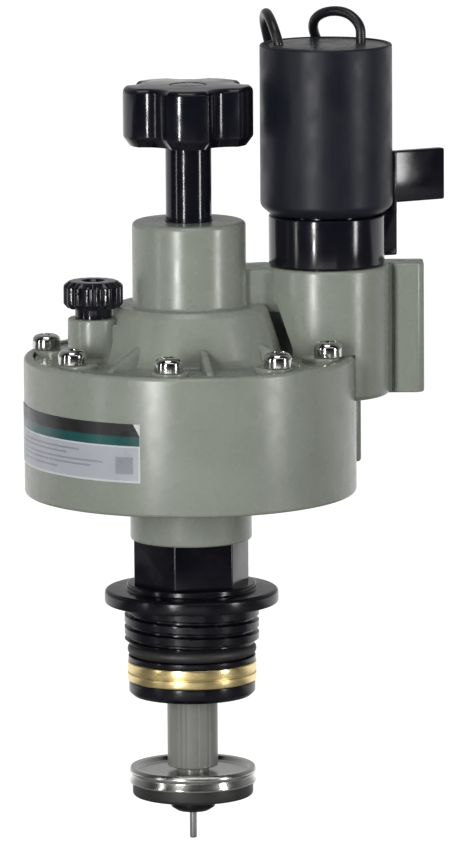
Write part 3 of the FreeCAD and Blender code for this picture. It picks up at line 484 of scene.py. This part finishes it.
def cover():
    """The cover: deck, hub, throat, bleed boss, and the solenoid boss that overhangs the drum."""
    rim, bore = DRUM_BORE - 0.3, SPINDLE_RADIUS + 0.1
    shell = lathe("cover_shell", [
        (CHAMBER_RADIUS, CLAMP_HIGH + 0.05), (rim, CLAMP_HIGH + 0.05), (rim, DECK_HIGH, 0.5),
        (23.4, DECK_HIGH, 1.2), (22.5, 62.9, 1.2), (19.2, 73.2, 1.4), (18, HUB_LOW, 0.5),
        (HUB_RADIUS, HUB_LOW, 0.7), (HUB_RADIUS, HUB_HIGH, 1.3), (bore, HUB_HIGH, 0.5), (bore, 82.1),
        (8.55, 82.1), (8.55, 70.1), (17.5, 70.1), (18.5, 59.8), (CHAMBER_RADIUS, 59.3),
    ], steps=192)
    boss = solenoid_boss()
    bridge = prism("bridge", [
        around(SIDE_ANGLE - 22, 12.8), around(SIDE_ANGLE - 11, 24), around(SIDE_ANGLE + 22, 24),
        around(SIDE_ANGLE + 40, 12.8),
    ], 71.7, BOSS_HIGH - 0.05, 0.8)
    web = prism("web", [
        around(BLEED_ANGLE - 12, 24.3), around(BLEED_ANGLE + 12, 24.3),
        around(BLEED_ANGLE + 17, 18.4), around(BLEED_ANGLE - 17, 18.4),
    ], 60.8, 70.6, 0.7)
    bleed_boss = lathe("bleed_boss", [
        (0, 59.9), (7, 60.9), (7, 61.4, 0.6), (6.3, 62.6, 0.6), (6.3, 72, 0.6), (2.65, 72, 0.3),
        (2.65, 62.3), (0, 62.3),
    ], BLEED, steps=64)
    pads = [lathe("pad", [(0, 60.9), (4.6, 60.9), (4.6, PAD_HIGH, 0.5), (0, PAD_HIGH)],
                  around(angle, PAD_CIRCLE), steps=48) for angle in SCREW_ANGLES]
    gussets = [gusset(angle) for angle in (9, -36, 54, 144, 189, 234)]
    combine(shell, "UNION", joined("pads", pads), joined("gussets", gussets), web, bleed_boss, bridge)
    combine(shell, "UNION", boss)
    keep(shell, "housing", "housing_plastic", HOUSING, "cover")


def cover_screws():
    """Pan-head screws, each left at its own turn by the driver."""
    head_high = PAD_HIGH + 3.7
    head = lathe("head", [
        (0, CLAMP_LOW), (2, CLAMP_LOW), (2, PAD_HIGH), (3.5, PAD_HIGH + 0.02, 0.3), (3.5, head_high, 1.7),
        (0, head_high),
    ], steps=64)
    recess = [prism("recess", [(-a, -b), (a, -b), (a, b), (-a, b)], head_high - 1.7, head_high + 0.7)
              for a, b in ((1.9, 0.38), (0.38, 1.9))]
    combine(head, "DIFFERENCE", *recess)
    soften(head, 0.12, 2, 40)
    for number, angle in enumerate(SCREW_ANGLES):
        screw = bpy.data.objects.new(f"cover_screw_{number + 1}", head.data.copy())
        bpy.context.scene.collection.objects.link(screw)
        turn = Matrix.Rotation(math.radians(31 * number), 4, "Z")
        x, y = around(angle, SCREW_CIRCLE)
        screw.data.transform(Matrix.Translation((x * MM, y * MM, 0)) @ turn)
        keep(screw, "housing", "bright_steel", BRIGHT, "cover_screws")
    bpy.data.objects.remove(head)


def label():
    """A printed film on the drum's left front: a black and a teal stripe over a pale ruled panel."""
    def patch(name, low, high, start, ends, rise, finish, *replaced):
        """A strip of film; ends are the angles of its right end at the bottom and at the top."""
        columns, spots, faces = 36, [], []
        for column in range(columns + 1):
            for height, end in ((low, ends[0]), (high, ends[1])):
                angle = start + (end - start) * column / columns
                spots.append((*around(angle, DRUM_RADIUS + rise), height))
                spots.append((*around(angle, DRUM_RADIUS + 0.02), height))
        for column in range(columns):
            a, b = 4 * column, 4 * column + 4
            faces += [(a, b, b + 2, a + 2), (a + 1, a + 3, b + 3, b + 1), (a, a + 1, b + 1, b),
                      (a + 2, b + 2, b + 3, a + 3)]
        faces += [(0, 2, 3, 1), (b, b + 1, b + 3, b + 2)]
        keep(solid(name, spots, faces), "housing", "label_film", finish, *replaced)

    patch("label_base", 36.1, 50.5, -88, (-17, -17), 0.12, FILM, "label")
    patch("label_panel", 36.6, 44.7, -87.6, (-17.6, -17.6), 0.15, PANEL)
    patch("label_stripe_teal", 45.1, 47.4, -87.6, (-17.2, -17.2), 0.15, TEAL)
    patch("label_stripe_black", 47.4, 50.5, -88, (-17, -19.5), 0.16, INK)
    rules = (43.1, -80, -41), (42.0, -84, -47), (40.6, -80, -31), (39.5, -84, -36), (38.2, -80, -52)
    for number, (height, first, end) in enumerate(rules):
        patch(f"label_rule_{number + 1}", height, height + 0.45, first, (end, end), 0.17, RULE)
    patch("label_box", 38.2, 42.4, -26, (-19.5, -19.5), 0.17, RULE)


# ---------------------------------------------------------------- adapter and stem

def thread(radius, height, angle):
    """Raises the right-handed thread's crest on the barrel, with a run-in at its lower end."""
    if not (THREAD_LOW - 0.01 <= height <= THREAD_HIGH) or radius < THREAD_ROOT - 0.3:
        return radius
    root_share, steepness, run_in = 0.175, 4.4, 1.0
    phase = ((height + THREAD_PITCH * angle / 360) / THREAD_PITCH) % 1
    nearness = 1 - 2 * abs(phase - 0.5)
    rise = min(1, steepness * max(0, nearness - root_share))
    fade = min(1, (height - THREAD_LOW) / run_in)
    return radius + (THREAD_CREST - THREAD_ROOT) * rise * fade


def adapter():
    """The screwed adapter: spigot, hexagon, flange, helical thread, O-ring groove and barrel."""
    bore_radius, core, step_high, rows = STEM_RADIUS + 0.06, 12.4, 5, 62
    flight = [(THREAD_ROOT, THREAD_LOW + (THREAD_HIGH - THREAD_LOW) * n / rows) for n in range(rows + 1)]
    shell = lathe("adapter_shell", [
        (bore_radius, -22.5), (core, -22.5), (core, -14.5), (BARREL_RADIUS, -14.5, 0.3),
        (BARREL_RADIUS, -13.1, 0.2), (13, -13.1), (13, -10.1), (THREAD_ROOT, -10.1), *flight,
        (THREAD_CREST, -0.55), (THREAD_CREST, 0), (21.5, 0, 0.6), (21.5, 3.5, 1.0), (16, 3.5, 0.4),
        (16, step_high, 0.5), (SPIGOT_RADIUS, step_high), (SPIGOT_RADIUS, SPIGOT_HIGH),
        (bore_radius, SPIGOT_HIGH),
    ], steps=160, shape=thread)
    corners = [around(60 * n + HEX_TURN, HEX_FLATS / math.sqrt(3)) for n in range(6)]
    nut = prism("hexagon", corners, step_high - 0.5, NECK_LOW + 0.5, 0.35)
    cone = lathe("cone", [(0, 4), (13.3, 4), (15.2, 5.9), (15.2, 17), (0, 17)], steps=120)
    bore = lathe("bore", [(0, 3), (bore_radius, 3), (bore_radius, 18), (0, 18)], steps=96)
    combine(nut, "INTERSECT", cone)
    combine(nut, "DIFFERENCE", bore)
    combine(shell, "UNION", nut)
    keep(shell, "housing", "adapter_plastic", ADAPTER, "adapter", sharp=30)


def barrel_rings():
    """What sits round the adapter's barrel: the O-ring, the grooved brass band and the bevelled end."""
    keep(round_ring("o_ring", 14.5, 1.45, -11.6), "housing", "black_rubber", RUBBER, "adapter_o_ring")
    inner, brass, lip_edge = 12.43, BARREL_RADIUS + 0.2, BARREL_RADIUS - 0.1
    ring = lathe("brass_band", [
        (inner, -19.4), (brass, -19.4, 0.35), (brass, -17.45, 0.1), (15.6, -17.1, 0.2),
        (brass, -16.75, 0.1), (brass, -14.52, 0.4), (inner, -14.52),
    ], steps=160)
    keep(ring, "housing", "brass", BRASS, "brass_ring")
    lip = lathe("bevelled_lip", [
        (inner, -22.5), (7.2, -22.5), (7.2, -23.1), (14.7, -23.1, 0.4), (lip_edge, -22.1, 0.3),
        (lip_edge, -19.42, 0.3), (inner, -19.42),
    ], steps=160)
    keep(lip, "housing", "adapter_plastic", ADAPTER, "lip_ring")


def round_ring(name, middle, thick, height):
    """A ring of round section on the main axis."""
    profile = [(middle + thick * math.cos(math.radians(a)), height + thick * math.sin(math.radians(a)))
               for a in range(0, 360, 20)]
    return lathe(name, profile, steps=128)


def stem():
    """The hollow stem, with fine draw lines along it and a thinner shank at each end."""
    draw_lines = (-47, -30, -17, 14, 41, 133, 152, 204, 233)
    line_depth, line_spread = 0.18, 3.5

    def lines(radius, height, angle):
        if radius < SHANK_RADIUS + 1.8:
            return radius
        turn = min(abs((angle - line + 180) % 360 - 180) for line in draw_lines)
        return radius - line_depth * max(0, 1 - turn / line_spread)

    rod = lathe("stem_rod", [
        (2.25, -51.3), (SHANK_RADIUS, -51.3), (SHANK_RADIUS, -41.2), (STEM_RADIUS, -41.2, 0.4),
        (STEM_RADIUS, 38, 0.4), (SHANK_RADIUS, 38), (SHANK_RADIUS, 50), (2.25, 50),
    ], steps=180, shape=lines)
    keep(rod, "valve", "stem_plastic", STEM, "valve_stem")


def seat():
    """The washer cup, the washer and the nut on the stem's lower shank, and the pin through the nut."""
    hole, cup_edge, washer_edge = SHANK_RADIUS + 0.03, 15.75, 14.95
    cup = lathe("polished_cup", [
        (hole, -42.3), (13, -42.3, 0.4), (13.9, -41.25, 0.4), (15.35, -41.2, 0.35), (cup_edge, -42, 0.5),
        (cup_edge, -42.5, 0.3), (washer_edge, -43.1, 0.3), (cup_edge, -44.8, 0.25), (15.6, -45.2, 0.15),
        (hole, -45.2),
    ], steps=160)
    keep(cup, "valve", "bright_steel", BRIGHT, "washer_cup")
    washer = lathe("seat_disc", [
        (hole, -48.5), (washer_edge, -48.5, 0.9), (washer_edge, -45.22, 0.2), (hole, -45.22),
    ], steps=128)
    keep(washer, "valve", "black_rubber", RUBBER, "seat_washer")
    nut = lathe("seat_nut", [
        (0.93, -52.4), (4, -52.4, 0.5), (5.5, -51.4, 0.4), (5.5, -48.52, 0.2), (hole, -48.52),
        (hole, -51.4), (0.93, -51.4),
    ], steps=96)
    keep(nut, "valve", "adapter_plastic", ADAPTER, "washer_nut")
    pin = lathe("pin_rod", [
        (0, -59.5), (0.875, -59.5, 0.3), (0.875, -51.35), (1.8, -51.35, 0.1), (1.8, -49.85, 0.2),
        (0, -49.85),
    ], steps=48)
    keep(pin, "pin", "grey_steel", STEEL, "metering_pin")


def helix(name, middle, wire, low, high, turns, centre=(0, 0), steps=28):
    """A coil spring of round wire between two heights."""
    rise = high - low - 2 * wire
    count = int(turns * steps)
    points = [(*around(360 * n / steps, middle, centre), low + wire + rise * n / count)
              for n in range(count + 1)]
    return tube_along(name, points, wire, 10)


def soft_parts():
    """Springs and the diaphragm, which lie between the two bodies that they join and are tied to neither.

    Each starts and ends just inside the parts that it joins, in metres.
    """
    spring = keep(helix("return_spring", 14.2, 1, 44.05, 69.95, 6), None, "grey_steel", STEEL,
                  "closing_spring")
    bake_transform(spring)
    hole, rim = SHANK_RADIUS + 0.03, DRUM_BORE - 0.3
    skin = lathe("rubber_diaphragm", [
        (hole, 40), (20.5, 40, 1), (23.1, 41.4, 1.5), (26.9, 53.2, 1.5), (29.2, CLAMP_LOW, 0.5),
        (rim, CLAMP_LOW), (rim, CLAMP_HIGH), (28.1, CLAMP_HIGH, 1.5), (25.1, 54.8, 1.5), (21.3, 42.8, 1),
        (20.1, 42, 0.5), (hole, 42),
    ], steps=144)
    keep(skin, None, "black_rubber", RUBBER, "diaphragm")
    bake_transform(skin)
    small = keep(helix("plunger_return_spring", 1.75, 0.35, 105.05, 116.55, 7, SIDE, 20), None,
                 "grey_steel", STEEL, "plunger_spring")
    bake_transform(small)


# ---------------------------------------------------------------- flow control and bleed screw

def star_plan(tip=16.3, shoulder=0.965 * 16.3, waist=12.9, lobes=5, half=19, steps=9):
    """A lobed outline: an arc round each lobe and a hollow arc between lobes."""
    def through(a, b, c):
        """Points from a to c, without c, on the circle through a, b and c."""
        (ax, ay), (bx, by), (cx, cy) = a, b, c
        det = 2 * (ax * (by - cy) + bx * (cy - ay) + cx * (ay - by))
        sa, sb, sc = ax * ax + ay * ay, bx * bx + by * by, cx * cx + cy * cy
        middle = Vector(((sa * (by - cy) + sb * (cy - ay) + sc * (ay - by)) / det,
                         (sa * (cx - bx) + sb * (ax - cx) + sc * (bx - ax)) / det))
        first, last = Vector(a) - middle, Vector(c) - middle
        sweep = first.angle(last)
        return [middle + (first * math.sin((1 - n / steps) * sweep) + last * math.sin(n / steps * sweep))
                / math.sin(sweep) for n in range(steps)]

    plan = []
    for lobe in range(lobes):
        angle = 360 * lobe / lobes
        start, end = around(angle - half, shoulder), around(angle + half, shoulder)
        following = around(angle + 360 / lobes - half, shoulder)
        plan += through(start, around(angle, tip), end)
        plan += through(end, around(angle + 180 / lobes, waist), following)
    return plan


def lobed(name, plan, corners):
    """A plan carried up a profile of (inset, height, radius of rounding); its ends are closed flat."""
    count = len(plan)
    normals = []
    for number, here in enumerate(plan):
        along = plan[(number + 1) % count] - plan[number - 1]
        normals.append(Vector((along.y, -along.x)).normalized())
    spots, faces = [], []
    profile = rounded([(-50, corners[0][1]), *corners, (-50, corners[-1][1])])[1:-1]
    for inset, height in profile:
        spots += [(*(here + normal * inset), height) for here, normal in zip(plan, normals)]
    for row in range(len(profile) - 1):
        for n in range(count):
            after = (n + 1) % count
            faces.append((row * count + n, row * count + after,
                          (row + 1) * count + after, (row + 1) * count + n))
    faces += [tuple(range(count)), tuple(range(len(spots) - count, len(spots)))]
    return solid(name, spots, faces)


def flow_control():
    """The lobed handle, its spindle with a groove for an O-ring, and the plug over the handle's screw."""
    handle = lobed("star_handle", star_plan(), [(-1.6, 114), (0, 116.2, 1.2), (0, 128.5, 1.5)])
    bore = lathe("bore", [(0, 112), (4.08, 112), (4.08, 125.2), (0, 125.2)], steps=64)
    recess = lathe("recess", [(0, 125.1), (4.4, 125.1), (4.4, 128), (5.1, 129), (0, 129)], steps=64)
    combine(handle, "DIFFERENCE", bore, recess)
    keep(handle, "handle", "gloss_black", GLOSS, "flow_handle")
    groove, tenon = 4.15, 4.05
    spindle = lathe("turned_spindle", [
        (0, 62.6), (SPINDLE_RADIUS, 62.6, 0.6), (SPINDLE_RADIUS, 84.4), (groove, 84.4), (groove, 87.2),
        (SPINDLE_RADIUS, 87.2), (SPINDLE_RADIUS, 114), (tenon, 114), (tenon, 124.9), (0, 124.9),
    ], steps=96)
    keep(spindle, "handle", "gloss_black", GLOSS, "flow_spindle")
    cap = lathe("handle_cap", [
        (0, 128.02), (4.3, 128.02, 0.1), (4.3, 128.42, 0.25), (0, 128.55),
    ], steps=64)
    keep(cap, "handle", "gloss_black", GLOSS)


def bleed():
    """The bleed screw: a plain shank with an O-ring groove, and a knob with flutes round its edge."""
    flute_count, flute_depth = 16, 0.62
    shank, groove, knob_radius, knob_high = 2.54, 1.7, 7.4, 81.1

    def flutes(radius, height, angle):
        """Cuts the flutes where the knob is wide, so that they run out towards its middle."""
        dip = 0.5 + 0.5 * math.cos(math.radians(flute_count * angle))
        return radius - flute_depth * dip ** 2 * min(1, max(0, radius - 5) / 2)

    knob = lathe("fluted_knob", [
        (0, 64.4), (shank, 64.4), (shank, 68.4), (groove, 68.4), (groove, 70.2), (shank, 70.2),
        (shank, 72.1), (4.5, 72.1), (4.5, 74.5, 0.4), (6.4, 74.5), (knob_radius, 75.6, 0.5),
        (knob_radius, 79.9, 0.8), (5.9, knob_high, 0.7), (3, knob_high, 0.3), (2.4, 80.3, 0.3), (0, 80.3),
    ], BLEED, steps=192, shape=flutes)
    keep(knob, "bleed_knob", "gloss_black", GLOSS, "bleed_screw")


# ---------------------------------------------------------------- solenoid

def solenoid():
    """The coil's overmould, the resin in its top with a step in it, and the base that screws in."""
    fill_low, mouth, wall, floor_high = COIL_HIGH - 3, COIL_RADIUS - 1.1, COIL_RADIUS - 2.4, COIL_LOW + 3
    can = lathe("coil_can", [
        (9.6, COIL_LOW), (14.1, COIL_LOW, 1.2), (COIL_RADIUS, COIL_LOW + 1.9, 2.0),
        (COIL_RADIUS, COIL_HIGH, 0.7), (mouth, COIL_HIGH, 0.3), (mouth, fill_low), (wall, fill_low),
        (wall, floor_high), (9.6, floor_high),
    ], SIDE, steps=160)
    keep(can, "housing", "coil_black", COIL, "solenoid_shell", sharp=40)
    fill = lathe("resin_fill", [
        (0, fill_low + 0.1), (mouth - 0.1, fill_low + 0.1), (mouth - 0.1, COIL_HIGH - 0.3, 0.25),
        (0, COIL_HIGH - 0.45),
    ], SIDE, steps=128)
    step_radius, chord_offset = 13.6, 3.1
    lean = math.degrees(math.asin(chord_offset / step_radius))
    step = prism("step", arc(SIDE, step_radius, -lean, lean - 180, 40), COIL_HIGH - 1.2,
                 COIL_HIGH - 0.05, 0.15)
    combine(fill, "UNION", step)
    keep(fill, "housing", "coil_black", POTTING, "coil_potting")
    barrel, base_high = SOCKET_RADIUS - 0.05, COIL_LOW - 0.03
    base = lathe("base_barrel", [
        (5.23, 84), (8.7, 84), (8.7, 81.7), (5.6, 81.7), (5.6, SOCKET_FLOOR + 0.1),
        (9.6, SOCKET_FLOOR + 0.1), (9.6, 77.4), (barrel, 77.4), (barrel, base_high), (5.23, base_high),
    ], SIDE, steps=128)
    keep(base, "housing", "gloss_black", GLOSS, "solenoid_base")


def lever():
    """A collar that turns on the solenoid's base, with an arm up the coil to a finger tab."""
    ring_bore, ring_radius, ring_low, ring_high = SOCKET_RADIUS + 0.07, 14.3, BOSS_HIGH + 0.25, 95.2
    collar = lathe("bleed_lever_arm", [
        (ring_bore, ring_low), (ring_radius, ring_low, 0.4), (ring_radius, ring_high, 0.4),
        (ring_bore, ring_high),
    ], SIDE, steps=128)
    arm_inner, arm_outer, first, last = COIL_RADIUS + 0.35, 18.6, 109, 133
    foot = prism("foot", sector(SIDE, ring_radius - 1, arm_outer, first, last, 10), 84, 95.1, 0.5)
    arm = prism("arm", sector(SIDE, arm_inner, arm_outer, first, last, 10), 94.2, 109.9, 0.4)
    root = Vector(around(121, 16.9, SIDE))
    along = Vector(around(118, 1))
    across = Vector((-along.y, along.x)) * 1.3
    tip = root + along * 16.4
    tab = prism("tab", [root - across, tip - across, tip + across, root + across], 96.7, 109.5, 0.5)
    combine(collar, "UNION", foot, arm, tab)
    keep(collar, "lever", "gloss_black", GLOSS, "bleed_lever")


# ---------------------------------------------------------------- lead wires

LEAD_LENGTH, WIRE_RADIUS, WIRE_STEP = 400.0, 1.25, 2.55
HANK_HALF, HANK_STRAIGHT, HANK_CENTRE, HANK_TURNS = 5.75, 24.6, 113.6, 4
# A smooth curve is this much shorter than the straight runs between its points.
CORNERS_CUT = 4


def hank_points(middle, start):
    """Oval turns side by side going back from the coil, then a tail laid down the last strand.

    The wire comes down the left strand, goes round the foot, up the right strand and over the top.
    """
    half = HANK_STRAIGHT / 2
    loop = [(-HANK_HALF, half), (-HANK_HALF, half / 2), (-HANK_HALF, 0), (-HANK_HALF, -half / 2),
            (-HANK_HALF, -half)]
    loop += [around(a, HANK_HALF, (0, -half)) for a in (-60, -30, 0, 30, 60)]
    loop += [(HANK_HALF, -half), (HANK_HALF, -half / 2), (HANK_HALF, 0), (HANK_HALF, half / 2),
             (HANK_HALF, half)]
    loop += [around(a, HANK_HALF, (0, half)) for a in (120, 150, 180, 210, 240)]
    points = []
    for turn in range(HANK_TURNS):
        for number, (x, z) in enumerate(loop):
            back = start + WIRE_STEP * (turn + number / len(loop))
            points.append((middle + x, back, HANK_CENTRE + z))
    back = start + WIRE_STEP * HANK_TURNS
    points.append((middle - HANK_HALF, back, HANK_CENTRE + half))
    return points


def run_length(points):
    """The length of the straight runs between points."""
    return sum((Vector(b) - Vector(a)).length for a, b in zip(points, points[1:]))


def lead(name, route, middle, tie_low):
    """One flying lead: the part that shows, the hank behind the coil, and the tie round the hank."""
    points = route + hank_points(middle, route[-1][1])
    x, y, z = points[-1]
    tail = LEAD_LENGTH - run_length(points) + CORNERS_CUT
    points += [(x, y, z - tail * part) for part in (0.35, 0.7, 1)]
    curve = bpy.data.curves.new(name, "CURVE")
    curve.dimensions = "3D"
    curve.bevel_depth = WIRE_RADIUS * MM
    curve.bevel_resolution = 5
    curve.use_fill_caps = True
    line = curve.splines.new("NURBS")
    line.points.add(len(points) - 1)
    for knot, point in zip(line.points, points):
        knot.co = (*(Vector(point) * MM), 1)
    line.order_u = 3
    line.use_endpoint_u = True
    line.resolution_u = 6
    cord = bpy.data.objects.new(name + "_wire", curve)
    bpy.context.scene.collection.objects.link(cord)
    curve.materials.append(WIRE)
    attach(cord, "housing")
    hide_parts(name, name + "_hank")
    band = tie_band(name + "_tie", middle, route[-1][1], tie_low)


def tie_band(name, middle, start, low):
    """A flat strap cinched round the strands of a hank."""
    gap, thick, wide, corner = WIRE_RADIUS + 0.02, 0.33, 2.4, 1.2
    front, back = start - gap, start + WIRE_STEP * HANK_TURNS + gap
    side = HANK_HALF + gap
    spots, faces = [], []
    for inset in (0, thick):
        ring_points = rounded([
            (middle - side - inset, front - inset, corner), (middle + side + inset, front - inset, corner),
            (middle + side + inset, back + inset, corner), (middle - side - inset, back + inset, corner),
        ], 15)
        for height in (low, low + wide):
            spots += [(x, y, height) for x, y in ring_points]
    count = len(ring_points)
    inner_low, inner_high, outer_low, outer_high = (count * n for n in range(4))
    for n in range(count):
        after = (n + 1) % count
        for a, b in ((inner_low, inner_high), (inner_high, outer_high), (outer_high, outer_low),
                     (outer_low, inner_low)):
            faces.append((a + n, a + after, b + after, b + n))
    band = solid(name, spots, faces)
    return keep(band, "housing", "wire_insulation", INK)


def leads():
    """Two wires that rise from the resin, fold over the back of the coil and end in hanks side by side."""
    lead("lead_left", [
        (22.3, 7.8, 136.9), (22.3, 7.8, 137.6), (21.2, 9.2, 141.2), (19.9, 13.4, 144.0),
        (19.1, 18.8, 144.2), (18.8, 24.0, 141.4), (19.8, 27.2, 136.4), (21.5, 27.6, 130.2),
    ], 27.3, HANK_CENTRE - 4)
    lead("lead_right", [
        (42.6, 14.0, 136.9), (42.6, 14.0, 137.6), (42.6, 14.6, 141.2), (39.4, 17.0, 144.3),
        (34.2, 20.2, 144.3), (30.6, 24.6, 141.4), (31.6, 27.4, 136.2), (35.9, 27.6, 130.2),
    ], 41.7, HANK_CENTRE + 2)


# ---------------------------------------------------------------- everything together

def inner_parts():
    """Parts that keep their CAD shape get a finish."""
    finishes = {
        STEEL: ("core_tube", "pole_piece", "plunger", "flux_sleeve", "flux_washer"),
        BRIGHT: ("diaphragm_lower_plate", "diaphragm_upper_plate", "diaphragm_nut", "handle_screw"),
        BRASS: ("stem_insert", "seat_nozzle"),
        RUBBER: ("stem_o_rings", "spindle_o_ring", "bleed_o_ring", "bleed_seal", "plunger_seal",
                 "solenoid_o_ring"),
        STEM: ("thrust_button",),
        NYLON: ("coil_bobbin",),
        COPPER: ("coil_winding",),
    }
    for finish, names in finishes.items():
        for name in names:
            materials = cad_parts[name].data.materials
            materials.clear()
            materials.append(finish)


camera()
surroundings()
lights()
floor()
leads()
drum()
cover()
cover_screws()
label()
adapter()
barrel_rings()
stem()
seat()
soft_parts()
flow_control()
bleed()
solenoid()
lever()
inner_parts()

bpy.context.view_layer.update()
